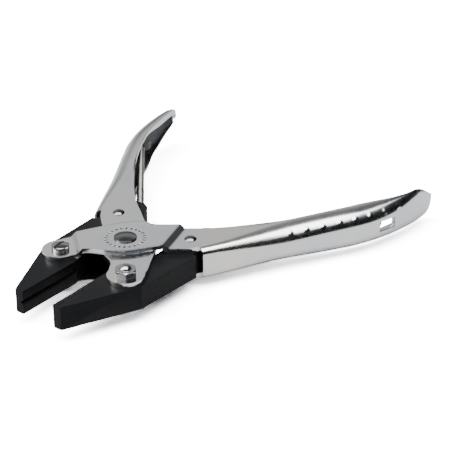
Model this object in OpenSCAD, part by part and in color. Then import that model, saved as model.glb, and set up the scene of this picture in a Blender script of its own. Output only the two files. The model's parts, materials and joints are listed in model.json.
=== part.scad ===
// Parallel-action flat-nose pliers with pressed steel channel handles.
// The long axis is X with the jaw tips at +X, the pivot axis is Z, and the right side is +Y.
// The left side is the right side turned half a turn about X, because both handles and both
// jaws are the same pressings used the other way up; the left grip ends a little sooner.
// A coil spring in each handle draws its jaw's tail back, which opens the pliers.
// Modelled in its open rest position.

/* [Handle] */
// Angle of each straight grip to the centre line, as the pliers lie open
handle_spread = 29.8; // [25:0.1:31]
// Thickness of the pressed sheet
sheet = 1.6; // [1.2:0.05:1.8]
// Distance from the pivot axis to a grip's outer face
grip_offset = 14.9; // [14:0.1:16]
// Distance from the pivot back to the front edge of the channel
channel_start = 21.3; // [20:0.1:22]
// Distance from the pivot back to where the grip starts to bend in
bend_start = 74.2; // [60:0.1:85]
// Radius of the inward bend, on the outer face
bend_radius = 67; // [55:1:90]
// Angle through which the right grip bends in
bend_angle = 32; // [28:0.5:36]
// Angle through which the left, slightly shorter grip bends in
left_bend_angle = 27.5; // [26:0.5:36]
// Outer radius of the channel's folded corners
fold_radius = 2.6; // [2:0.1:3]
// Radius of the lobe round each jaw screw
lobe_radius = 6.1; // [5.5:0.1:6.5]

/* [Mechanism] */
// Distance from the pivot axis to every jaw screw and slot rivet
pin_radius = 21.3; // [20.5:0.1:22]
// Angle of a handle's jaw screw below its grip's axis
front_pin_angle = 10.9; // [9:0.1:13]
// Angle of a handle's slot rivet above its grip's axis
rear_pin_angle = 17; // [15:0.1:19]
// Free play between sliding faces
play = 0.05; // [0.02:0.01:0.08]

/* [Jaws] */
// Height of the jaws
jaw_height = 8.2; // [7:0.1:10]
// Distance from each gripping face to the centre line, as the pliers lie open
half_gap = 6.4; // [4:0.1:7]
// Distance from the pivot axis to the jaw tips, as the pliers lie open
tip_reach = 41.8; // [36:0.1:50]
// Width of one jaw at its tip
tip_width = 3.1; // [2:0.1:5]
// Width of the wire groove in the left jaw
groove_width = 1.8; // [1:0.1:2.5]
// Depth of the wire groove in the left jaw
groove_depth = 1.1; // [0.5:0.1:1.4]
// Distance from the screw to the flat end of the jaw's tail
tail_length = 43.7; // [43:0.1:46]

/* [Fasteners] */
// Radius of the pivot rivets' domed heads
pivot_head_radius = 3.8; // [3:0.1:4.5]
// Radius of the jaw screws' slotted heads
screw_head_radius = 2.9; // [2.6:0.1:3.4]
// Height of the jaw screws' slotted heads
screw_head_height = 2; // [1.5:0.1:3]
// Width across the flats of the nuts
nut_flats = 6.5; // [6:0.1:7.5]
// Height of the nuts
nut_height = 2.1; // [1.8:0.1:3]
// Radius of the slot rivets' domed heads
slot_head_radius = 2.1; // [1.9:0.1:2.6]

/* [Springs] */
// Outer radius of the coil springs in the handles
spring_radius = 1.3; // [1.1:0.05:1.5]
// Radius of the springs' wire
wire_radius = 0.3; // [0.2:0.02:0.35]

/* [Hidden] */

$fn = 72;
eps = 0.01;
tall = 60;

// Heights of the sheet: near lies against the jaws, far crosses over the other handle.
near_low = jaw_height / 2 + play;
near_top = near_low + sheet;
far_low = near_top + play;
far_top = far_low + sheet;

// Pins, in the frame of a handle whose grip runs along X.
front_pin = pin_radius * [cos(front_pin_angle), -sin(front_pin_angle)];
rear_pin = pin_radius * [-cos(rear_pin_angle), sin(rear_pin_angle)];
// The same pins of the right-hand jaw, in the part's frame.
jaw_pin = pin_radius * [cos(handle_spread + front_pin_angle), sin(handle_spread + front_pin_angle)];
slot_pin = pin_radius * [-cos(handle_spread + rear_pin_angle), sin(handle_spread + rear_pin_angle)];
// The slot leans by half the difference of the pin angles, which keeps the jaws parallel.
slot_lean = (rear_pin_angle - front_pin_angle) / 2;
slot_distance = norm(jaw_pin - slot_pin);
closed_angle = asin((jaw_pin[1] - half_gap) / pin_radius);
closed_turn = handle_spread + front_pin_angle - closed_angle;
open_turn = 2;
pin_half_angle = handle_spread + (front_pin_angle + rear_pin_angle) / 2;
slot_front = 2 * pin_radius * cos(pin_half_angle + open_turn) - 0.1;
slot_back = 2 * pin_radius * cos(pin_half_angle - closed_turn) + 0.2;

// Round sizes of the fasteners.
screw_radius = 2;
bush_radius = 3;
slot_rivet_radius = 1.5;
roller_radius = 2.2;
slot_half_width = roller_radius + 0.1;
pivot_shank_radius = 2.6;
pivot_head_height = 0.95;
pivot_inner_height = 0.7;
slot_head_height = 0.95;
screw_end_height = 1.3;
screw_slot_width = 0.9;
screw_slot_depth = 0.9;

// Springs: each runs from a tab lanced out of a handle's web to the end of the jaw's tail.
spring_anchor = [-86.9, 10.7];
hook_hole_radius = wire_radius + 0.15;
hook_drop = 2.4;
window_front = -86;
window_back = -93;
window_half_height = 1.75;
tab_half_width = 0.9;
tab_lip_low = 7.6;
tab_lip_back = -90.6;
spring_ring_radius = 1.65;

// The right channel's rounded end, and where it puts the back of the part.
end_radius = 6.7;
bend_centre = [-bend_start, grip_offset - bend_radius];
end_angle = bend_angle + asin(end_radius / bend_radius);
end_point = bend_centre + bend_radius * [-sin(end_angle), cos(end_angle)];
back_x = end_point[0] * cos(handle_spread) + end_point[1] * sin(handle_spread);

// The origin lies under the middle of the part, on the surface it rests on.
pivot_x = -(tip_reach + back_x) / 2;
pivot_z = near_top + nut_height + screw_end_height;

// Curve through the inner points of a list, with its first and last points as guides.
function knot(p, i, t) =
    0.5 * ((2 * p[i]) + (p[i + 1] - p[i - 1]) * t
    + (2 * p[i - 1] - 5 * p[i] + 4 * p[i + 1] - p[i + 2]) * t * t
    + (3 * p[i] - p[i - 1] - 3 * p[i + 1] + p[i + 2]) * t * t * t);
function curve(p, steps = 4) = [
    for (i = [1 : len(p) - 3], k = [0 : steps - 1]) knot(p, i, k / steps),
    p[len(p) - 2]];

// Turns the part's own frame, with the pivot at its origin, into the finished frame.
module placed() {
    translate([pivot_x, 0, pivot_z]) children();
}

// The other side: half a turn about the part's long axis.
module other_side() {
    rotate([180, 0, 0]) children();
}

module at(p) {
    translate([p[0], p[1], 0]) children();
}

module handle_frame() {
    rotate([0, 0, -handle_spread]) children();
}

// Edge of the cheek on the outer side, from the lobe's neck back to the channel.
outer_edge = curve([
    [23, -1], [18.8, 1.2], [14.8, 2], [12, 3.3], [9.2, 5.5], [5.4, 7.5], [1.5, 8.7], [-3, 9.1],
    [-8.5, 9.3], [-13, 10.5], [-17.5, 11.6], [-channel_start - 1, 12], [-26, 12]]);
// Edge of the cheek and the grip's flange on the inner side, from the bend to the lobe.
inner_edge = curve([
    [-124, -12], [-118, -6.5], [-112.5, -2.6], [-107, 1.3], [-100, 4.6], [-87, 6.8], [-72, 7.7],
    [-57, 7.1], [-42, 4.9], [-31, 2.4], [-22.5, -0.9], [-16, -3.4], [-11.8, -5.4], [-9.9, -8.2],
    [-6, -10.1], [2, -10.6], [12, -10.4], [20, -9.5], [23, -7]]);

module cheek_outline() {
    at(front_pin) circle(r = lobe_radius);
    intersection() {
        polygon(concat(outer_edge, [for (p = inner_edge) if (p[0] > -24) p]));
        translate([-channel_start - 1, -15]) square(60);
    }
}

// Flat region that the channel is trimmed to, with room outside its outer face.
module channel_outline() {
    polygon(concat(inner_edge, [[0, -8], [0, 20], [-95, 20], [-125, 8]]));
}

// Stepped strip of sheet: far level near the pivot, near level beyond the given distance.
module stepped_strip(direction, distance) {
    ramp = 1.9;
    skew = 0.55;
    rotate([0, 0, direction]) translate([0, tall / 2, 0]) rotate([90, 0, 0]) linear_extrude(tall)
        polygon([[-tall, far_low], [distance, far_low], [distance + ramp, near_low], [tall, near_low],
                 [tall, near_top], [distance + ramp + skew, near_top], [distance + skew, far_top],
                 [-tall, far_top]]);
}

// Cheek that passes outside the other handle, stepped down on both sides of the pivot.
module outer_cheek() {
    rear_step = 12.9;
    rear_direction = 136.7;
    front_step = 14.9;
    seam = -6;
    intersection() {
        linear_extrude(tall) cheek_outline();
        union() {
            intersection() {
                stepped_strip(rear_direction, rear_step);
                translate([seam - tall, -tall, 0]) cube([tall, 2 * tall, tall]);
            }
            intersection() {
                stepped_strip(-front_pin_angle, front_step);
                translate([seam, -tall, 0]) cube([tall, 2 * tall, tall]);
            }
        }
    }
}

module inner_cheek() {
    translate([0, 0, -near_top]) linear_extrude(sheet) cheek_outline();
}

// Cross-section of the folded channel: x is the distance from the grip's outer face.
module channel_section() {
    flange = 21;
    fold_centre = near_top - fold_radius;
    difference() {
        union() {
            translate([0, -fold_centre]) square([flange, 2 * fold_centre]);
            translate([fold_radius, -near_top]) square([flange - fold_radius, 2 * near_top]);
            for (side = [-1, 1]) translate([fold_radius, side * fold_centre]) circle(r = fold_radius);
        }
        translate([sheet, -fold_centre]) square([flange, 2 * fold_centre]);
        translate([fold_radius, -near_low]) square([flange, 2 * near_low]);
        for (side = [-1, 1]) translate([fold_radius, side * fold_centre])
            circle(r = fold_radius - sheet);
    }
}

// Straight stretch and bend of the grip, with the web on the outer side.
module channel(bend) {
    straight = bend_start - channel_start;
    intersection() {
        union() {
            translate([-channel_start, grip_offset, 0]) rotate([90, 0, -90]) linear_extrude(straight)
                channel_section();
            at(bend_centre) rotate([0, 0, 90]) rotate_extrude(angle = bend + 8)
                translate([bend_radius, 0]) mirror([1, 0]) channel_section();
        }
        translate([0, 0, -tall / 2]) linear_extrude(tall) channel_outline();
        union() {
            at(bend_centre) rotate([0, 0, bend]) translate([0, 0, -tall / 2])
                cube([200, 200, tall]);
            at(bend_centre) rotate([0, 0, bend]) rotate([-90, 0, 0])
                cylinder(r = end_radius, h = bend_radius + 5);
        }
    }
}

// Tab cut out of the web and bent into the channel, with a lip that points back.
module spring_tab() {
    root_inset = 3;
    translate([0, 0, -tab_half_width]) {
        translate([window_front - sheet, tab_lip_low, 0])
            cube([sheet, grip_offset - root_inset - tab_lip_low + 1.2, 2 * tab_half_width]);
        translate([tab_lip_back, tab_lip_low, 0])
            cube([window_front - tab_lip_back, sheet, 2 * tab_half_width]);
    }
}

module spring_window() {
    translate([window_back, 10, -window_half_height])
        cube([window_front - sheet - window_back, 8, 2 * window_half_height]);
}

module handle(pivot_hole_radius, bend) {
    color("gainsboro") handle_frame() difference() {
        union() {
            outer_cheek();
            inner_cheek();
            difference() {
                channel(bend);
                spring_window();
            }
            spring_tab();
        }
        translate([0, 0, -tall / 2]) cylinder(r = pivot_hole_radius, h = tall);
        at(front_pin) translate([0, 0, -tall / 2]) cylinder(r = screw_radius, h = tall);
        at(rear_pin) translate([0, 0, -tall / 2]) cylinder(r = slot_rivet_radius, h = tall);
    }
}

// Frame of the jaw's tail: origin on the screw, X towards the slot.
module tail_frame() {
    at(jaw_pin) rotate([0, 0, 180 - slot_lean]) children();
}

// Middle of the tail's end wall, where the spring's hook sits.
tail_hook = [tail_length - 1.05, 0];
function tail_point(p) = jaw_pin
    + [-cos(slot_lean) * p[0] + sin(slot_lean) * p[1], sin(slot_lean) * p[0] + cos(slot_lean) * p[1]];

// The right-hand jaw seen from above, with distances from the line through its two pins.
module jaw_outline() {
    outer_offset = 7.1;
    relief_offset = 5.5;
    relief_start = 25.5;
    neck_offset = 3.6;
    tail_offset = 4.9;
    corner_radius = 5;
    crease_x = 17;
    throat_x = 17.4;
    corner = [tail_length - corner_radius, corner_radius - tail_offset];
    polygon(concat(
        [[tip_reach, half_gap + tip_width], [tip_reach, half_gap], [throat_x, half_gap],
         [throat_x - 9, jaw_pin[1] - neck_offset - 0.6], tail_point([16, -neck_offset]),
         tail_point([corner[0], -tail_offset])],
        [for (a = [-75 : 15 : 0]) tail_point(corner + corner_radius * [cos(a), sin(a)])],
        [tail_point([tail_length, relief_offset]), tail_point([relief_start, relief_offset]),
         tail_point([relief_start, outer_offset]), [crease_x, jaw_pin[1] + outer_offset]]));
}

module jaw_body() {
    difference() {
        translate([0, 0, -jaw_height / 2]) linear_extrude(jaw_height) jaw_outline();
        at(jaw_pin) translate([0, 0, -tall / 2]) cylinder(r = bush_radius + play, h = tall);
        tail_frame() translate([0, 0, -tall / 2]) {
            for (x = [slot_front, slot_back]) translate([x, 0, 0])
                cylinder(r = slot_half_width, h = tall);
            translate([slot_front, -slot_half_width, 0])
                cube([slot_back - slot_front, 2 * slot_half_width, tall]);
        }
        tail_frame() at(tail_hook) hook_seat();
    }
}

// Blind hole for the hook's bent end, and the saw cut that lets its leg out to the back.
module hook_seat() {
    cut_half_height = wire_radius + 0.1;
    cut_width = 2.6;
    translate([0, 0, -hook_drop - 0.2])
        cylinder(r = hook_hole_radius, h = hook_drop + 0.2 + cut_half_height);
    translate([0, hook_hole_radius - cut_width, -cut_half_height])
        cube([2, cut_width, 2 * cut_half_height]);
}

// V-shaped groove along the middle of a gripping face.
module wire_groove() {
    translate([0, half_gap, 0]) rotate([90, 0, 90]) translate([0, 0, -tall]) linear_extrude(3 * tall)
        polygon([[-1, -groove_width / 2 * (1 + 1 / groove_depth)], [groove_depth, 0],
                 [-1, groove_width / 2 * (1 + 1 / groove_depth)]]);
}

// Low dome of a given foot radius and height, standing on z = 0.
module dome(foot, height) {
    ball = (foot * foot + height * height) / (2 * height);
    rotate_extrude() intersection() {
        translate([0, height - ball]) circle(r = ball, $fn = 180);
        square([foot, height]);
    }
}

module ring(outer, inner, low, top) {
    translate([0, 0, low]) difference() {
        cylinder(r = outer, h = top - low);
        translate([0, 0, -1]) cylinder(r = inner, h = top - low + 2);
    }
}

// Short rivet through both cheeks on one side, which leaves the throat open.
module pivot_rivet() {
    rim = 0.3;
    inner_low = near_low - pivot_inner_height;
    head_low = far_top + play;
    color("darkgray") {
        translate([0, 0, head_low]) cylinder(r = pivot_head_radius, h = rim);
        translate([0, 0, head_low + rim]) dome(pivot_head_radius, pivot_head_height - rim);
        translate([0, 0, inner_low]) cylinder(r = pivot_shank_radius, h = head_low - inner_low);
        translate([0, 0, inner_low])
            cylinder(r = pivot_shank_radius + 0.7, h = pivot_inner_height - play);
    }
}

// Screw with its slotted head above the given cheek and its rounded end past the nut.
module jaw_screw() {
    side = 1.35;
    end_low = near_top + nut_height;
    color("silver") difference() {
        union() {
            translate([0, 0, near_top]) cylinder(r = screw_head_radius, h = side);
            translate([0, 0, near_top + side]) dome(screw_head_radius, screw_head_height - side);
            translate([0, 0, -end_low]) cylinder(r = screw_radius, h = end_low + near_top);
            translate([0, 0, -end_low]) rotate([180, 0, 0]) dome(screw_radius, screw_end_height);
        }
        translate([-5, -screw_slot_width / 2, near_top + screw_head_height - screw_slot_depth])
            cube([10, screw_slot_width, 5]);
    }
}

module jaw_nut() {
    corner_radius = nut_flats / sqrt(3);
    chamfer = 0.45;
    color("silver") translate([0, 0, -near_top - nut_height]) difference() {
        intersection() {
            cylinder(r = corner_radius, h = nut_height, $fn = 6);
            union() {
                cylinder(r1 = corner_radius - chamfer, r2 = corner_radius + eps, h = chamfer);
                translate([0, 0, chamfer]) cylinder(r = corner_radius + eps, h = nut_height);
            }
        }
        translate([0, 0, -1]) cylinder(r = screw_radius, h = nut_height + 2);
    }
}

module slot_rivet() {
    color("silver") {
        translate([0, 0, -near_top]) cylinder(r = slot_rivet_radius, h = 2 * near_top);
        translate([0, 0, near_top]) dome(slot_head_radius, slot_head_height);
        translate([0, 0, -near_top]) rotate([180, 0, 0]) dome(slot_head_radius, slot_head_height);
    }
}

// Direction from a spring's tab to the tail's hook, in the part's frame, as the pliers lie open.
anchor_point = [spring_anchor[0] * cos(handle_spread) + spring_anchor[1] * sin(handle_spread),
                -spring_anchor[0] * sin(handle_spread) + spring_anchor[1] * cos(handle_spread)];
hook_point = tail_point(tail_hook);
spring_length = norm(hook_point - anchor_point);
spring_turn = atan2(hook_point[1] - anchor_point[1], hook_point[0] - anchor_point[0]);
coil_start = 3;
coil_end = spring_length - 4.9;

// Frame of a spring: origin on the tab, X towards the tail.
module spring_frame() {
    at(anchor_point) rotate([0, 0, spring_turn]) children();
}

// The coils as one tube, and the end ring that stands on edge round the tab.
module return_spring() {
    color("silver") spring_frame() {
        translate([coil_start, 0, 0]) rotate([0, 90, 0]) difference() {
            cylinder(r = spring_radius, h = coil_end - coil_start);
            translate([0, 0, -1]) cylinder(r = spring_radius - 2 * wire_radius, h = spring_length);
        }
        rotate([90, 0, 0]) rotate_extrude() translate([spring_ring_radius, 0])
            circle(r = wire_radius, $fn = 24);
        translate([spring_ring_radius, 0, 0]) rotate([0, 90, 0])
            cylinder(r = wire_radius, h = coil_start - spring_ring_radius + 0.6);
        translate([coil_start + 0.3, 0, -spring_radius + wire_radius])
            cylinder(r = wire_radius, h = spring_radius - wire_radius);
    }
}

// The other end of the wire, which leaves the coils and turns down into the tail.
module spring_hook() {
    leg_inside = 9;
    color("silver") spring_frame() {
        translate([coil_end - leg_inside, 0, 0]) rotate([0, 90, 0])
            cylinder(r = wire_radius, h = spring_length - coil_end + leg_inside);
        translate([spring_length, 0, -hook_drop]) cylinder(r = wire_radius, h = hook_drop);
        translate([spring_length, 0, 0]) sphere(r = wire_radius);
    }
}

module handle_right() {
    placed() handle(pivot_shank_radius + play, bend_angle);
}

module handle_left() {
    placed() other_side() handle(pivot_shank_radius, left_bend_angle);
}

module jaw_right() {
    color("dimgray") placed() jaw_body();
}

module jaw_left() {
    color("dimgray") placed() other_side() difference() {
        jaw_body();
        wire_groove();
    }
}

module pivot_rivet_top() {
    placed() pivot_rivet();
}

module pivot_rivet_bottom() {
    placed() other_side() pivot_rivet();
}

// The right-hand screw has its head underneath and its nut on top.
module jaw_screw_right() {
    placed() at(jaw_pin) rotate([180, 0, 0]) jaw_screw();
}

module jaw_screw_left() {
    placed() other_side() at(jaw_pin) rotate([180, 0, 0]) jaw_screw();
}

module jaw_nut_right() {
    nut_turn = 41.5;
    placed() at(jaw_pin) rotate([0, 0, nut_turn]) rotate([180, 0, 0]) jaw_nut();
}

module jaw_nut_left() {
    placed() other_side() at(jaw_pin) rotate([180, 0, 0]) jaw_nut();
}

module jaw_bush_right() {
    color("gray") placed() at(jaw_pin) ring(bush_radius, screw_radius, -near_low, near_low);
}

module jaw_bush_left() {
    color("gray") placed() other_side() at(jaw_pin)
        ring(bush_radius, screw_radius, -near_low, near_low);
}

module slot_rivet_right() {
    placed() at(slot_pin) slot_rivet();
}

module slot_rivet_left() {
    placed() other_side() at(slot_pin) slot_rivet();
}

module slot_roller_right() {
    color("gray") placed() at(slot_pin) ring(roller_radius, slot_rivet_radius, -near_low, near_low);
}

module slot_roller_left() {
    color("gray") placed() other_side() at(slot_pin)
        ring(roller_radius, slot_rivet_radius, -near_low, near_low);
}

module return_spring_right() {
    placed() return_spring();
}

module return_spring_left() {
    placed() other_side() return_spring();
}

module spring_hook_right() {
    placed() spring_hook();
}

module spring_hook_left() {
    placed() other_side() spring_hook();
}

handle_right();
handle_left();
jaw_right();
jaw_left();
pivot_rivet_top();
pivot_rivet_bottom();
jaw_screw_right();
jaw_screw_left();
jaw_nut_right();
jaw_nut_left();
jaw_bush_right();
jaw_bush_left();
slot_rivet_right();
slot_rivet_left();
slot_roller_right();
slot_roller_left();
return_spring_right();
return_spring_left();
spring_hook_right();
spring_hook_left();
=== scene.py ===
import bmesh
import bpy
import json
import math
from mathutils import Matrix, Vector


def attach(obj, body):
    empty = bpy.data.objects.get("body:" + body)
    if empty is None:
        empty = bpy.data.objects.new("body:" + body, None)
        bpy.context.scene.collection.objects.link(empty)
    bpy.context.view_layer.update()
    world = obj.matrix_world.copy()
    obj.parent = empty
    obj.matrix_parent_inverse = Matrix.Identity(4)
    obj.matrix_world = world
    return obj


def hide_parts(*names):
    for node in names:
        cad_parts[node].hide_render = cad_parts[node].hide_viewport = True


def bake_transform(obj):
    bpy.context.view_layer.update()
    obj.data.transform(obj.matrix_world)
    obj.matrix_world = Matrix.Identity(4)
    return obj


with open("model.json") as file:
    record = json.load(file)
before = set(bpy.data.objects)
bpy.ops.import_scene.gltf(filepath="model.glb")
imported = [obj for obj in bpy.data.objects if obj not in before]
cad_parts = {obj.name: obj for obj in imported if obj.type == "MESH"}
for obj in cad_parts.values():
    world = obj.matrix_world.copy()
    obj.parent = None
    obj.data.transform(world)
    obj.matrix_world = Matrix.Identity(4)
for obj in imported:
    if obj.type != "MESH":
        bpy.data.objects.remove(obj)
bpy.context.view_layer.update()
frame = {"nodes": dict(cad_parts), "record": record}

MM = 0.001

# The part's own frame, in mm from its origin: the pivot, the pins and the levels of the sheet.
PIVOT = Vector((28.8673, 0.0, 9.15))
SPREAD = math.radians(29.8)
PIN_RADIUS = 21.3
FRONT_PIN_ANGLE = math.radians(10.9)
SHEET = 1.6
NEAR_TOP = 5.75
FAR_TOP = 7.4
GRIP_OFFSET = 14.9
CHANNEL_START = 21.3
BEND_START = 74.2
BEND_RADIUS = 67
RIGHT_BEND = math.radians(32)
LEFT_BEND = math.radians(27.5)
END_BEYOND_BEND = 6.9
LOBE_RADIUS = 6.1

# The camera stands in front on the right, looking down. Its place is in mm from the pivot.
VIEW_AZIMUTH = math.radians(52.696)
VIEW_ELEVATION = math.radians(27.835)
CAMERA_PLACE = Vector((334.45, 295.67, 247.10))
LENS = 124.04
SENSOR = 36
AWAY = Vector((-math.sin(VIEW_AZIMUTH), -math.cos(VIEW_AZIMUTH), 0))
RIGHTWARD = Vector((-math.cos(VIEW_AZIMUTH), math.sin(VIEW_AZIMUTH), 0))
UP = Vector((0, 0, 1))


def make_camera():
    data = bpy.data.cameras.new("camera")
    camera = bpy.data.objects.new("camera", data)
    bpy.context.collection.objects.link(camera)
    data.lens = LENS
    data.sensor_width = SENSOR
    data.clip_start = 0.01
    look = AWAY * math.cos(VIEW_ELEVATION) - UP * math.sin(VIEW_ELEVATION)
    up = AWAY * math.sin(VIEW_ELEVATION) + UP * math.cos(VIEW_ELEVATION)
    place = (PIVOT + CAMERA_PLACE) * MM
    columns = Matrix((RIGHTWARD, up, -look)).transposed()
    camera.matrix_world = Matrix.Translation(place) @ columns.to_4x4()
    bpy.context.scene.camera = camera


# ---- curves and outlines, in a handle's own frame: pivot at the origin, grip along -X ----

def curve(points, steps=6):
    """Catmull-Rom curve through the inner points; the first and last are guides."""
    out = []
    for i in range(1, len(points) - 2):
        a, b, c, d = (Vector(points[i + k]) for k in (-1, 0, 1, 2))
        for k in range(steps):
            t = k / steps
            out.append(0.5 * (2 * b + (c - a) * t + (2 * a - 5 * b + 4 * c - d) * t ** 2
                              + (3 * b - a - 3 * c + d) * t ** 3))
    out.append(Vector(points[-2]))
    return out


def resample(points, count):
    """The same polyline with count + 1 points at even spacing."""
    run = [0.0]
    for a, b in zip(points, points[1:]):
        run.append(run[-1] + (b - a).length)
    out = []
    k = 0
    for i in range(count + 1):
        s = run[-1] * i / count
        while k < len(points) - 2 and run[k + 1] < s:
            k += 1
        span = run[k + 1] - run[k]
        out.append(points[k].lerp(points[k + 1], (s - run[k]) / span if span else 0))
    return out


def arc(centre, radius, start, end, count):
    angles = [math.radians(start + (end - start) * i / count) for i in range(count + 1)]
    return [Vector((centre[0] + radius * math.cos(a), centre[1] + radius * math.sin(a))) for a in angles]


def smooth(t):
    t = min(1.0, max(0.0, t))
    return t * t * (3 - 2 * t)


FRONT_PIN = (PIN_RADIUS * math.cos(FRONT_PIN_ANGLE), -PIN_RADIUS * math.sin(FRONT_PIN_ANGLE))
FOLD_AT_SEAM = 2.6
CHEEK_OUTER = curve([
    (23, -1), (18.8, 1.65), (14.8, 2), (12, 3.3), (9.2, 5.5), (5.4, 7.5), (1.5, 8.7), (-3, 9.1),
    (-8.5, 9.3), (-13, 10.7), (-17.5, 11.9), (-CHANNEL_START, GRIP_OFFSET - FOLD_AT_SEAM), (-26, 12.4)])
INNER_EDGE = curve([
    (-124, -12), (-118, -6.5), (-112.5, -2.6), (-107, 1.3), (-100, 4.6), (-87, 6.8), (-72, 7.7),
    (-57, 7.1), (-42, 4.9), (-31, 2.4), (-22.5, -0.9), (-16, -3.4), (-11.8, -5.4), (-9.9, -8.2),
    (-6, -10.1), (2, -10.6), (12, -10.4), (19.3, -9.95), (23, -7)])


def y_on(points, x):
    """Height of a polyline that runs along X, at the given x."""
    for a, b in zip(points, points[1:]):
        lo, hi = (a, b) if a.x < b.x else (b, a)
        if lo.x <= x <= hi.x and hi.x > lo.x:
            return lo.y + (hi.y - lo.y) * (x - lo.x) / (hi.x - lo.x)
    return points[0].y if abs(points[0].x - x) < abs(points[-1].x - x) else points[-1].y


def nearest(points, p):
    return min(range(len(points)), key=lambda i: (points[i] - Vector(p)).length)


def cheek_stations():
    """Pairs of points on the cheek's outer and inner edges, from the lobe's tip to the channel."""
    tip = -math.degrees(FRONT_PIN_ANGLE)
    outer = arc(FRONT_PIN, LOBE_RADIUS, tip + 3, 108, 30) + CHEEK_OUTER[1:]
    inner_cheek = [p for p in reversed(INNER_EDGE) if p.x > -CHANNEL_START]
    inner_cheek.append(Vector((-CHANNEL_START, y_on(INNER_EDGE, -CHANNEL_START))))
    inner = arc(FRONT_PIN, LOBE_RADIUS, tip - 3, -102, 24) + inner_cheek
    outer = [p for p in outer if p.x >= -CHANNEL_START - 1e-6]
    anchors_out = [(30, -5), (21, 2), (14.8, 2), (5.4, 7.5), (-3, 9.1), (-13, 10.7), (-50, 14)]
    anchors_in = [(30, -6), (20, -10), (12, -10.4), (0, -10.6), (-9.9, -8.2), (-15, -3.8), (-50, -2)]
    counts = [16, 12, 22, 22, 24, 20]
    pairs = []
    for k, count in enumerate(counts):
        runs = []
        for side, anchors in ((outer, anchors_out), (inner, anchors_in)):
            start, end = nearest(side, anchors[k]), nearest(side, anchors[k + 1])
            runs.append(resample(side[start:end + 1], count))
        new = list(zip(*runs))
        pairs += new if k == len(counts) - 1 else new[:-1]
    return pairs


# The outer cheek steps down over JOGGLE_LENGTH from these distances from the pivot, forward and back
JOGGLE_FRONT = 14.9
JOGGLE_REAR = 12.9
JOGGLE_LENGTH = 2.3
JOGGLE_REAR_WAY = math.radians(136.7)


def joggle(p, low, high):
    """Level of the outer face of the cheek that passes outside the other handle."""
    front = p.x * math.cos(FRONT_PIN_ANGLE) - p.y * math.sin(FRONT_PIN_ANGLE)
    rear = p.x * math.cos(JOGGLE_REAR_WAY) + p.y * math.sin(JOGGLE_REAR_WAY)
    front_drop = smooth((front - JOGGLE_FRONT) / JOGGLE_LENGTH)
    rear_drop = smooth((rear - JOGGLE_REAR) / JOGGLE_LENGTH)
    return high - (high - low) * max(front_drop, rear_drop)


STRAIGHT = BEND_START - CHANNEL_START
DEEPEST_FLANGE = 20.0


def grip_path(t):
    """Point on the grip's outer face and its inward normal, t mm back from the channel's front."""
    if t <= STRAIGHT:
        return Vector((-CHANNEL_START - t, GRIP_OFFSET)), Vector((0, -1))
    a = (t - STRAIGHT) / BEND_RADIUS
    centre = Vector((-BEND_START, GRIP_OFFSET - BEND_RADIUS))
    out = Vector((-math.sin(a), math.cos(a)))
    return centre + BEND_RADIUS * out, -out


def flange_depth(t):
    """How far the flanges reach in from the outer face."""
    p, inward = grip_path(t)
    depth = DEEPEST_FLANGE
    for a, b in zip(INNER_EDGE, INNER_EDGE[1:]):
        side_a, side_b = (a - p).cross(inward), (b - p).cross(inward)
        if side_a * side_b <= 0 and side_a != side_b:
            hit = a.lerp(b, side_a / (side_a - side_b))
            along = (hit - p).dot(inward)
            if 0 < along < depth:
                depth = along
    return depth


FLARE = 1.5
FLARE_LENGTH = 58
# The fold opens out over FOLD_LENGTH, and the flange's edge droops from DROOP_START on
FOLD_LENGTH = 34
FOLD_GROWTH_IN = 4.2
FOLD_GROWTH_DOWN = 3.2
LEAST_FLANGE = 0.4
LEAST_WEB = 0.3
DROOP = 0.8
DROOP_START = 8
DROOP_LENGTH = 40
# A grip's end: the rounding's length, its two powers and what remains, and the flange's trim and roll
TOP_SHAPE = (12.5, 1.6, 1.15, 0.16, 1.9, 0.0)
BOTTOM_SHAPE = (7.0, 3.0, 0.5, 0.5, -1.7, 1.3)
TRIM_START = 60
TRIM_LENGTH = 22
ROLL_START = 58
ROLL_LENGTH = 20
EDGE_NOSE = 9.0
EDGE_REST = 0.3
NOSE_CURL = 1.2
CURL_LENGTH = 6
CURL_POWER = 2.2
WINDOW_START = 65.4
WINDOW_END = 72.4
WINDOW_HALF_HEIGHT = 1.75
# Share of the grip's length at which the window's half height is turned into grid rows
WINDOW_PROBE = 0.7
TAB_DEPTH = 4.4
TAB_CORNER = 0.7
TAB_LIP_STEP = 0.55
PIP_RADIUS = 1.2
PIP_HEIGHT = 0.16
PIP_PITCH = 6.1
# How steep a pip's edge is, and how many grid steps each way are looked at for one
PIP_EDGE = 1.25
PIP_REACH_BACK = 5
PIP_REACH_ACROSS = 12
# A row of pips: where it starts, how many it has, and its side of the face's middle
PIP_ROWS = [(31.7, 8, 1), (29.3, 6, 0), (31.7, 8, -1)]
PIP_ROW_OFFSET = 4.81


def pip_places(plain_side):
    """Raised pips on the grip: (distance back, distance along the section from its middle)."""
    rows = PIP_ROWS[:2] if plain_side else PIP_ROWS
    places = []
    for start, count, side in rows:
        places += [(start + PIP_PITCH * i, side * PIP_ROW_OFFSET) for i in range(count)]
    return places


def handle_point(p, z):
    """From a handle's own frame to the part's frame, for the right handle."""
    x = p.x * math.cos(SPREAD) + p.y * math.sin(SPREAD)
    y = -p.x * math.sin(SPREAD) + p.y * math.cos(SPREAD)
    return Vector((x, y, z))


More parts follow.
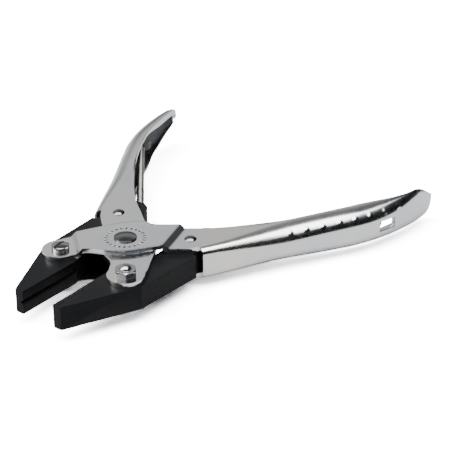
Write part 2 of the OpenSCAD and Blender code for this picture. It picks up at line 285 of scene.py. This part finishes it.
def flank(t, length, flange_steps, fold_steps, shape):
    """Flange and fold of one side at t: (inward distance, height), from the flange's edge to the web."""
    nose, power, root, remains, trim, roll = shape
    back = max(0.0, t - (length - nose)) / nose
    full = max(0.0, 1 - back ** power) ** root
    half = (NEAR_TOP + FLARE * smooth(t / FLARE_LENGTH)) * (remains + (1 - remains) * full)
    edge = max(0.0, t - (length - EDGE_NOSE)) / EDGE_NOSE
    rest = EDGE_REST + (1 - EDGE_REST) * max(0.0, 1 - edge ** 2) ** 0.5
    depth = (flange_depth(t) - trim * smooth((t - TRIM_START) / TRIM_LENGTH)) * rest
    opened = smooth(t / FOLD_LENGTH)
    in_reach = min(FOLD_AT_SEAM + FOLD_GROWTH_IN * opened, depth - LEAST_FLANGE)
    drop = min(FOLD_AT_SEAM + FOLD_GROWTH_DOWN * opened, half - LEAST_WEB)
    droop = DROOP * smooth((t - DROOP_START) / DROOP_LENGTH) + roll * smooth((t - ROLL_START) / ROLL_LENGTH)
    curl = NOSE_CURL * (max(0.0, t - (length - CURL_LENGTH)) / CURL_LENGTH) ** CURL_POWER
    points = []
    for i in range(flange_steps):
        k = 1 - i / flange_steps
        points.append((curl + in_reach + (depth - in_reach) * k, half - droop * k * k))
    for i in range(fold_steps + 1):
        a = math.pi / 2 * i / fold_steps
        points.append((curl + in_reach - in_reach * math.sin(a), half - drop + drop * math.cos(a)))
    return points


def section(t, length, flange_steps, fold_steps, web_steps):
    """The channel's outer face at t, as (inward distance, height) from the top edge to the bottom."""
    upper = flank(t, length, flange_steps, fold_steps, TOP_SHAPE)
    lower = [(n, -z) for n, z in reversed(flank(t, length, flange_steps, fold_steps, BOTTOM_SHAPE))]
    n, start = upper[-1]
    end = lower[0][1]
    web = [(n, start + (end - start) * i / web_steps) for i in range(1, web_steps)]
    return upper + web + lower


def tab_path():
    """Outer face of the spring's tab, as (distance back from the window's front, distance in)."""
    corner = TAB_CORNER
    turn = [math.pi / 2 * i / 6 for i in range(1, 7)]
    first = [(corner * math.sin(a), corner - corner * math.cos(a)) for a in turn]
    down = [(corner, corner + (TAB_DEPTH - 2 * corner) * i / 5) for i in range(1, 6)]
    last = [(2 * corner - corner * math.cos(a), TAB_DEPTH - corner + corner * math.sin(a)) for a in turn]
    out = [(2 * corner + TAB_LIP_STEP * i, TAB_DEPTH) for i in range(1, 5)]
    return first + down + last + out


def piece_from(bm, name):
    """Turns a bmesh into a linked object, its faces looking outwards."""
    bmesh.ops.recalc_face_normals(bm, faces=bm.faces)
    mesh = bpy.data.meshes.new(name)
    bm.to_mesh(mesh)
    bm.free()
    piece = bpy.data.objects.new(name, mesh)
    bpy.context.collection.objects.link(piece)
    return piece


def round_edges(piece, width, angle):
    """Breaks the edges sharper than the angle, in degrees, with a small round."""
    edges = piece.modifiers.new("edges", "BEVEL")
    edges.limit_method = "ANGLE"
    edges.angle_limit = math.radians(angle)
    edges.width = width * MM
    edges.segments = 3


FLANGE_STEPS = 22
FOLD_STEPS = 20
WEB_STEPS = 18
STATION_SPACING = 0.3


def make_handle(name, bend, flip):
    """One pressing: the channel swept along the grip, the spring's tab, and the two cheeks in front."""
    length = STRAIGHT + BEND_RADIUS * bend + END_BEYOND_BEND
    flange_steps, fold_steps, web_steps = FLANGE_STEPS, FOLD_STEPS, WEB_STEPS
    bm = bmesh.new()
    stations = cheek_stations()
    count = round(length / STATION_SPACING)
    grid = []
    for i in range(count + 1):
        t = length * i / count
        p, inward = grip_path(t)
        row = []
        for n, z in section(t, length, flange_steps, fold_steps, web_steps):
            row.append(Vector((p.x + inward.x * n, p.y + inward.y * n, z)))
        grid.append(row)
    # raise the pips along the face's own normal
    middle = flange_steps + fold_steps + web_steps // 2
    raised = [[None] * len(r) for r in grid]
    for t0, s0 in pip_places(flip):
        i0 = round(t0 / length * count)
        row = grid[i0]
        run = 0.0
        j0 = middle
        step = -1 if s0 > 0 else 1
        while run < abs(s0):
            run += (row[j0 + step] - row[j0]).length
            j0 += step
        centre = row[j0]
        for i in range(i0 - PIP_REACH_BACK, i0 + PIP_REACH_BACK + 1):
            for j in range(j0 - PIP_REACH_ACROSS, j0 + PIP_REACH_ACROSS + 1):
                far = (grid[i][j] - centre).length / PIP_RADIUS
                if far < 1:
                    across = grid[i][j + 1] - grid[i][j - 1]
                    along = grid[i + 1][j] - grid[i - 1][j]
                    normal = along.cross(across).normalized()
                    raised[i][j] = normal * PIP_HEIGHT * smooth((1 - far) * PIP_EDGE)
    for i, row in enumerate(raised):
        for j, lift in enumerate(row):
            if lift is not None:
                out = Vector((0, 0, 1)) if grid[i][j].z > 0 else Vector((0, 0, -1))
                p, inward = grip_path(length * i / count)
                outward = Vector((-inward.x, -inward.y, 0)) + out * 0.2
                sign = 1 if lift.dot(outward) > 0 else -1
                grid[i][j] = grid[i][j] + lift * sign

    def place(v):
        q = handle_point(v, v.z)
        if flip:
            q = Vector((q.x, -q.y, -q.z))
        return (q + PIVOT) * MM

    verts = [[bm.verts.new(place(v)) for v in row] for row in grid]
    width = len(grid[0])
    web = flange_steps + fold_steps
    probed = grid[int(count * WINDOW_PROBE)]
    rows = next(k for k in range(fold_steps) if probed[web - k].z >= WINDOW_HALF_HEIGHT)
    front, back = round(WINDOW_START / length * count), round(WINDOW_END / length * count)
    for i in range(count):
        for j in range(width - 1):
            if front <= i < back and web - rows <= j < web + web_steps + rows:
                continue
            bm.faces.new((verts[i][j], verts[i][j + 1], verts[i + 1][j + 1], verts[i + 1][j]))
    # the tab that the spring hooks on is bent in from the window's front edge
    last = verts[front][web:web + web_steps + 1]
    start = length * front / count
    for t, n in tab_path():
        p, inward = grip_path(start + t)
        line = [bm.verts.new(place(Vector((p.x + inward.x * n, p.y + inward.y * n, grid[front][web + j].z))))
                for j in range(web_steps + 1)]
        for j in range(web_steps):
            bm.faces.new((last[j], last[j + 1], line[j + 1], line[j]))
        last = line
    # the two cheeks continue the flanges forward
    for top in (True, False):
        last = verts[0][:flange_steps + 1] if top else verts[0][:-flange_steps - 2:-1]
        for outer, inner in reversed(stations[:-1]):
            line = []
            for j in range(flange_steps + 1):
                p = inner.lerp(outer, j / flange_steps)
                z = joggle(p, NEAR_TOP, FAR_TOP) if top else -NEAR_TOP
                line.append(bm.verts.new(place(Vector((p.x, p.y, z)))))
            for j in range(flange_steps):
                bm.faces.new((last[j], last[j + 1], line[j + 1], line[j]))
            last = line
    piece = piece_from(bm, name)
    mesh = piece.data
    for polygon in mesh.polygons:
        polygon.use_smooth = True
    # the face must look outwards for the sheet to thicken inwards
    probe = mesh.polygons[(count // 3) * (width - 1) + middle]
    outward = Vector((1, -1 if flip else 1, 0))
    if probe.normal.dot(outward) < 0:
        mesh.flip_normals()
    solid = piece.modifiers.new("thickness", "SOLIDIFY")
    solid.thickness = SHEET * MM
    solid.offset = -1
    solid.use_even_offset = True
    # the inner faces take the second slot: a near black copy of the steel, painted shade inside the channel
    solid.material_offset = 1
    round_edges(piece, 0.28, 55)
    return piece


def principled(name, **sockets):
    material = bpy.data.materials.new(name)
    material.use_nodes = True
    shader = material.node_tree.nodes["Principled BSDF"]
    for key, value in sockets.items():
        shader.inputs[key.replace("_", " ")].default_value = value
    return material, material.node_tree, shader


def node(tree, kind, **settings):
    n = tree.nodes.new(kind)
    for key, value in settings.items():
        setattr(n, key, value)
    return n


def math_node(tree, operation, a, b=None):
    n = node(tree, "ShaderNodeMath", operation=operation)
    for socket, value in zip(n.inputs, (a, b)):
        if value is None:
            continue
        if isinstance(value, (int, float)):
            socket.default_value = value
        else:
            tree.links.new(value, socket)
    return n.outputs[0]


def coordinates(tree, scale=(1, 1, 1), turn=0.0):
    place = node(tree, "ShaderNodeTexCoord")
    mapping = node(tree, "ShaderNodeMapping")
    mapping.inputs["Scale"].default_value = scale
    mapping.inputs["Rotation"].default_value = (0, 0, turn)
    tree.links.new(place.outputs["Object"], mapping.inputs["Vector"])
    return mapping.outputs[0]


def noise(tree, vector, scale, detail=3.0, rough=0.55):
    n = node(tree, "ShaderNodeTexNoise")
    n.inputs["Scale"].default_value = scale
    n.inputs["Detail"].default_value = detail
    n.inputs["Roughness"].default_value = rough
    tree.links.new(vector, n.inputs["Vector"])
    return n.outputs["Fac"]


def spread_over(tree, value, low, high, out_low, out_high):
    n = node(tree, "ShaderNodeMapRange")
    tree.links.new(value, n.inputs[0])
    for i, v in enumerate((low, high, out_low, out_high)):
        n.inputs[i + 1].default_value = v
    return n.outputs[0]


def colours(tree, value, stops):
    n = node(tree, "ShaderNodeValToRGB")
    ramp = n.color_ramp
    while len(ramp.elements) < len(stops):
        ramp.elements.new(0.5)
    for element, (place, colour) in zip(ramp.elements, stops):
        element.position = place
        element.color = (*colour, 1)
    tree.links.new(value, n.inputs[0])
    return n.outputs[0]


def level(tree, value, stops):
    """Grey level by stops of (place, level)."""
    return colours(tree, value, [(place, (v, v, v)) for place, v in stops])


def bump(tree, shader, heights):
    """Stacks (height, strength, distance in mm) bumps onto a shader."""
    last = None
    for height, strength, distance in heights:
        n = node(tree, "ShaderNodeBump")
        n.inputs["Strength"].default_value = strength
        n.inputs["Distance"].default_value = distance * MM
        tree.links.new(height, n.inputs["Height"])
        if last:
            tree.links.new(last, n.inputs["Normal"])
        last = n.outputs[0]
    tree.links.new(last, shader.inputs["Normal"])


TICKS = 24
RING_RADIUS = 6.4
# Half widths of a tick, as a share of the pitch and in mm, where it is whole and where it has gone
TICK_ALONG = (0.14, 0.20)
TICK_ACROSS = (0.50, 0.60)
# Only what stands this far from the mid plane is an outer cheek
OUTER_CHEEK = (7.2, 7.3)


def stamped_ring(tree):
    """Mask of a plain ring of short punched ticks round the pivot, on the outer cheeks only; it dents the
    ticks and paints shade into them.
    """
    place = node(tree, "ShaderNodeTexCoord")
    parts = node(tree, "ShaderNodeSeparateXYZ")
    tree.links.new(place.outputs["Object"], parts.inputs[0])
    x = math_node(tree, "SUBTRACT", parts.outputs[0], PIVOT.x * MM)
    y = parts.outputs[1]
    z = math_node(tree, "ABSOLUTE", math_node(tree, "SUBTRACT", parts.outputs[2], PIVOT.z * MM))
    square = math_node(tree, "ADD", math_node(tree, "MULTIPLY", x, x), math_node(tree, "MULTIPLY", y, y))
    radius = math_node(tree, "SQRT", square)
    turn = math_node(tree, "MULTIPLY", math_node(tree, "ARCTAN2", y, x), TICKS / math.tau)
    within = math_node(tree, "ABSOLUTE", math_node(tree, "SUBTRACT", math_node(tree, "FRACT", turn), 0.5))
    tick = spread_over(tree, within, *TICK_ALONG, 1, 0)
    off_ring = math_node(tree, "ABSOLUTE", math_node(tree, "SUBTRACT", radius, RING_RADIUS * MM))
    band = spread_over(tree, off_ring, TICK_ACROSS[0] * MM, TICK_ACROSS[1] * MM, 1, 0)
    face = spread_over(tree, z, OUTER_CHEEK[0] * MM, OUTER_CHEEK[1] * MM, 0, 1)
    return math_node(tree, "MULTIPLY", math_node(tree, "MULTIPLY", tick, band), face)


def pressed_steel():
    material, tree, shader = principled("pressed_steel", Metallic=1.0)
    along = coordinates(tree, (0.12, 1, 1), SPREAD)
    plain = coordinates(tree)
    cloud = noise(tree, plain, 38, 4, 0.6)
    streak = noise(tree, along, 900, 4, 0.6)
    speck = noise(tree, plain, 2600, 2, 0.5)
    tint = colours(tree, cloud, [(0.34, (0.63, 0.675, 0.72)), (0.52, (0.735, 0.745, 0.75)),
                                 (0.68, (0.79, 0.77, 0.73))])
    tick_dent_and_painted_shade = stamped_ring(tree)
    mix = node(tree, "ShaderNodeMix", data_type="RGBA")
    tree.links.new(tick_dent_and_painted_shade, mix.inputs[0])
    tree.links.new(tint, mix.inputs[6])
    # painted shade: the punched ticks are coloured near black, on top of their real dent in the bump below
    mix.inputs[7].default_value = (0.07, 0.07, 0.072, 1)
    tree.links.new(mix.outputs[2], shader.inputs["Base Color"])
    rough = math_node(tree, "ADD", spread_over(tree, cloud, 0.3, 0.7, 0.13, 0.21),
                      spread_over(tree, streak, 0.3, 0.7, -0.02, 0.03))
    tree.links.new(rough, shader.inputs["Roughness"])
    wave = noise(tree, along, 120, 2, 0.5)
    bump(tree, shader, [(wave, 0.35, 0.12), (streak, 0.10, 0.02), (speck, 0.05, 0.02),
                        (math_node(tree, "MULTIPLY", tick_dent_and_painted_shade, -1.0), 0.8, 0.25)])
    return material


def plated(name, low, high, colour_low, colour_high, scale=150):
    """Plain bright or ground steel, with its roughness and colour between two values each."""
    material, tree, shader = principled(name, Metallic=1.0)
    plain = coordinates(tree)
    cloud = noise(tree, plain, scale, 4, 0.6)
    fine = noise(tree, plain, 2200, 3, 0.5)
    tree.links.new(colours(tree, cloud, [(0.35, colour_low), (0.65, colour_high)]),
                   shader.inputs["Base Color"])
    tree.links.new(spread_over(tree, cloud, 0.3, 0.7, low, high), shader.inputs["Roughness"])
    bump(tree, shader, [(cloud, 0.25, 0.1), (fine, 0.12, 0.02)])
    return material


def black_steel():
    material, tree, shader = principled("black_steel", Metallic=0.0, Specular_IOR_Level=0.09)
    plain = coordinates(tree)
    cloud = noise(tree, plain, 70, 4, 0.6)
    grain = noise(tree, plain, 1900, 3, 0.6)
    tree.links.new(colours(tree, cloud, [(0.3, (0.0035, 0.0036, 0.0042)), (0.7, (0.0065, 0.0065, 0.0072))]),
                   shader.inputs["Base Color"])
    tree.links.new(spread_over(tree, cloud, 0.3, 0.7, 0.27, 0.36), shader.inputs["Roughness"])
    bump(tree, shader, [(cloud, 0.15, 0.1), (grain, 0.22, 0.03)])
    return material


# A spring, in mm: radii of its wire, its coils and its ring round the tab, and places along it
WIRE = 0.3
COIL = 1.0
RING = 1.65
RING_STEPS = 40
STEPS_PER_TURN = 18
SPRING_LENGTH = 56.78
COIL_START = 3.0
COIL_END = SPRING_LENGTH - 4.9
HOOK_DROP = 2.4
COIL_PITCH = 0.82


def spring_path():
    """Centre line of a spring's wire: X along the spring from the tab, Z up."""
    path = []
    for i in range(RING_STEPS + 1):
        a = math.radians(-25 - 300 * i / RING_STEPS)
        path.append(Vector((RING * math.cos(a), 0, RING * math.sin(a))))
    path += [Vector((1.75, 0, 1.15)), Vector((2.3, 0, 1.0))]
    turns = round((COIL_END - COIL_START) / COIL_PITCH)
    steps = turns * STEPS_PER_TURN
    for i in range(steps + 1):
        a = math.pi / 2 + math.tau * turns * i / steps
        x = COIL_START + (COIL_END - COIL_START) * i / steps
        path.append(Vector((x, COIL * math.cos(a), COIL * math.sin(a))))
    path += [Vector((COIL_END + 0.3, 0, 0.75)), Vector((COIL_END + 0.6, 0, 0.35)),
             Vector((COIL_END + 1.0, 0, 0.08)), Vector((COIL_END + 1.5, 0, 0)),
             Vector((SPRING_LENGTH - 0.5, 0, 0))]
    for i in range(1, 6):
        a = math.pi / 2 * i / 5
        path.append(Vector((SPRING_LENGTH - 0.5 + 0.5 * math.sin(a), 0, 0.5 * math.cos(a) - 0.5)))
    path.append(Vector((SPRING_LENGTH, 0, -HOOK_DROP)))
    return path


def sweep(name, path, radius, sides, place):
    """Round wire along a path, with flat ends."""
    bm = bmesh.new()
    across = Vector((0, 1, 0))
    rings = []
    for i, p in enumerate(path):
        along = (path[min(i + 1, len(path) - 1)] - path[max(i - 1, 0)]).normalized()
        across = (across - along * across.dot(along)).normalized()
        up = along.cross(across)
        rings.append([bm.verts.new(place(p + radius * (math.cos(math.tau * k / sides) * across
                                                       + math.sin(math.tau * k / sides) * up)))
                      for k in range(sides)])
    for a, b in zip(rings, rings[1:]):
        for k in range(sides):
            bm.faces.new((a[k], a[(k + 1) % sides], b[(k + 1) % sides], b[k]))
    bm.faces.new(reversed(rings[0]))
    bm.faces.new(rings[-1])
    piece = piece_from(bm, name)
    for polygon in piece.data.polygons:
        polygon.use_smooth = len(polygon.vertices) == 4
    return piece


def make_spring(side):
    """Coil spring from the tab in a handle to its jaw's tail, built where it rests; on the real pliers its
    coils open as they close.
    """
    joints = {j["name"]: j for j in frame["record"]["behaviour"]["joints"]}
    start = Vector(joints["right_spring_swing"]["pos_m"])
    along = Vector(joints["right_spring_stretch"]["axis"])
    beside = Vector((0, 0, 1)).cross(along)

    def place(p):
        q = start + (along * p.x + beside * p.y) * MM + Vector((0, 0, p.z * MM))
        return q if side == "right" else Vector((q.x, -q.y, 2 * PIVOT.z * MM - q.z))

    piece = sweep("spring_" + side + "_wire", spring_path(), WIRE, 10, place)
    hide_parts("return_spring_" + side, "spring_hook_" + side)
    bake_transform(piece)
    return piece


def give(piece, material):
    piece.data.materials.clear()
    piece.data.materials.append(material)


def repaint(name, material, width=0.0):
    """New material on a CAD node, and a small round on its sharp edges if a width is given."""
    piece = frame["nodes"][name]
    for slot_ in piece.material_slots:
        slot_.link = "OBJECT"
        slot_.material = material
    if not piece.material_slots:
        piece.data.materials.append(material)
    if width:
        weld = piece.modifiers.new("weld", "WELD")
        weld.merge_threshold = 0.002 * MM
        round_edges(piece, width, 28)


# The room's brightness by tilt: 0 is the horizon in front, 0.5 overhead and 1 the horizon behind
WALLS = [(0.00, 0.003), (0.30, 0.006), (0.56, 0.016), (0.66, 0.018), (0.745, 0.032), (0.80, 0.075),
         (0.845, 0.090), (0.88, 0.072), (0.93, 0.026), (1.00, 0.014)]
SOFT_BOX = [(0.285, 0.0), (0.335, 1.0), (0.535, 1.0), (0.575, 0.0)]
LEFT_WALL = 0.06
# Where, across the room from left (-1) to right (1), each of them starts and ends its fall
WALLS_FALL = (0.22, 0.55)
WALLS_REMAIN = 0.1
BOX_FALL = (0.49, 0.60)
LEFT_WALL_FALL = (-0.35, -0.18)
SKY_STRENGTH = 9.0
FLOOR_SEEN = 7.5
FLOOR_MIRRORED = 0.44
FLOOR_HALF = 3.0


def along_direction(tree, vector, direction):
    """The part of a vector that lies along a fixed direction."""
    n = node(tree, "ShaderNodeVectorMath", operation="DOT_PRODUCT")
    tree.links.new(vector, n.inputs[0])
    n.inputs[1].default_value = direction
    return n.outputs["Value"]


def studio():
    """A soft box overhead and a little in front, in a dark room with a dim band low down behind."""
    w = bpy.data.worlds.new("studio")
    bpy.context.scene.world = w
    w.use_nodes = True
    tree = w.node_tree
    tree.nodes.clear()
    out = node(tree, "ShaderNodeOutputWorld")
    sky = node(tree, "ShaderNodeBackground")
    place = node(tree, "ShaderNodeTexCoord")
    parts = node(tree, "ShaderNodeSeparateXYZ")
    tree.links.new(place.outputs["Generated"], parts.inputs[0])
    toward = along_direction(tree, place.outputs["Generated"], -AWAY)
    across = along_direction(tree, place.outputs["Generated"], RIGHTWARD)
    tilt = math_node(tree, "ARCTAN2", parts.outputs[2], toward)
    tilt = math_node(tree, "DIVIDE", tilt, math.pi)
    walls = math_node(tree, "MULTIPLY", level(tree, tilt, WALLS),
                      spread_over(tree, across, *WALLS_FALL, 1, WALLS_REMAIN))
    walls = math_node(tree, "MAXIMUM", walls, spread_over(tree, across, *LEFT_WALL_FALL, LEFT_WALL, 0))
    box = math_node(tree, "MULTIPLY", level(tree, tilt, SOFT_BOX),
                    spread_over(tree, across, *BOX_FALL, 1, 0))
    light = math_node(tree, "MAXIMUM", walls, box)
    mix = node(tree, "ShaderNodeCombineColor")
    for channel, tone in zip(mix.inputs, (1, 1, 1.01)):
        tree.links.new(math_node(tree, "MULTIPLY", light, tone), channel)
    tree.links.new(mix.outputs[0], sky.inputs[0])
    sky.inputs[1].default_value = SKY_STRENGTH
    tree.links.new(sky.outputs[0], out.inputs[0])


def make_floor():
    mesh = bpy.data.meshes.new("floor")
    half = FLOOR_HALF
    mesh.from_pydata([(-half, -half, 0), (half, -half, 0), (half, half, 0), (-half, half, 0)], [],
                     [(0, 1, 2, 3)])
    ground = bpy.data.objects.new("floor", mesh)
    bpy.context.collection.objects.link(ground)
    material = bpy.data.materials.new("floor")
    material.use_nodes = True
    tree = material.node_tree
    tree.nodes.clear()
    out = node(tree, "ShaderNodeOutputMaterial")
    paper = node(tree, "ShaderNodeBsdfDiffuse")
    rays = node(tree, "ShaderNodeLightPath")
    # the floor is over-lit to the eye, so that it reads as white without flooding the metal
    shade = spread_over(tree, rays.outputs["Is Camera Ray"], 0, 1, FLOOR_MIRRORED, FLOOR_SEEN)
    joined = node(tree, "ShaderNodeCombineColor")
    for channel in joined.inputs:
        tree.links.new(shade, channel)
    tree.links.new(joined.outputs[0], paper.inputs["Color"])
    tree.links.new(paper.outputs[0], out.inputs[0])
    give(ground, material)


make_camera()
studio()
make_floor()

steel = pressed_steel()
black = black_steel()
# A near black copy of the pressed steel for the channel's inner faces: painted shade inside the channel
inside_painted_shade_steel = plated("pressed_steel_inside_painted_shade", 0.28, 0.4, (0.045, 0.048, 0.054), (0.09, 0.09, 0.088), 60)
screw_steel = plated("fastener_steel", 0.12, 0.2, (0.30, 0.305, 0.32), (0.42, 0.42, 0.41))
# The rivets get a darker copy of the fastener steel: painted shade for the dark reflections on their domes
rivet_steel = plated("rivet_steel", 0.12, 0.2, (0.13, 0.133, 0.14), (0.22, 0.22, 0.217))
spring_steel = plated("spring_steel", 0.26, 0.36, (0.34, 0.345, 0.33), (0.44, 0.44, 0.42))
plain_steel = plated("plain_steel", 0.3, 0.42, (0.36, 0.36, 0.37), (0.46, 0.46, 0.45))

for name, bend, flip, body in (("right", RIGHT_BEND, False, "right_handle"),
                               ("left", LEFT_BEND, True, "left_handle")):
    pressing = make_handle("handle_" + name + "_pressing", bend, flip)
    give(pressing, steel)
    # second slot: painted shade for the inner faces of the channel
    pressing.data.materials.append(inside_painted_shade_steel)
    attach(pressing, body)
    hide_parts("handle_" + name)

for side in ("right", "left"):
    give(make_spring(side), spring_steel)
for name in ("jaw_right", "jaw_left"):
    repaint(name, black, 0.3)
for side in ("right", "left"):
    repaint("jaw_screw_" + side, screw_steel, 0.12)
    repaint("jaw_nut_" + side, screw_steel, 0.14)
    repaint("slot_rivet_" + side, rivet_steel, 0.08)
    repaint("jaw_bush_" + side, plain_steel)
    repaint("slot_roller_" + side, plain_steel)
for name in ("pivot_rivet_top", "pivot_rivet_bottom"):
    repaint(name, rivet_steel, 0.1)
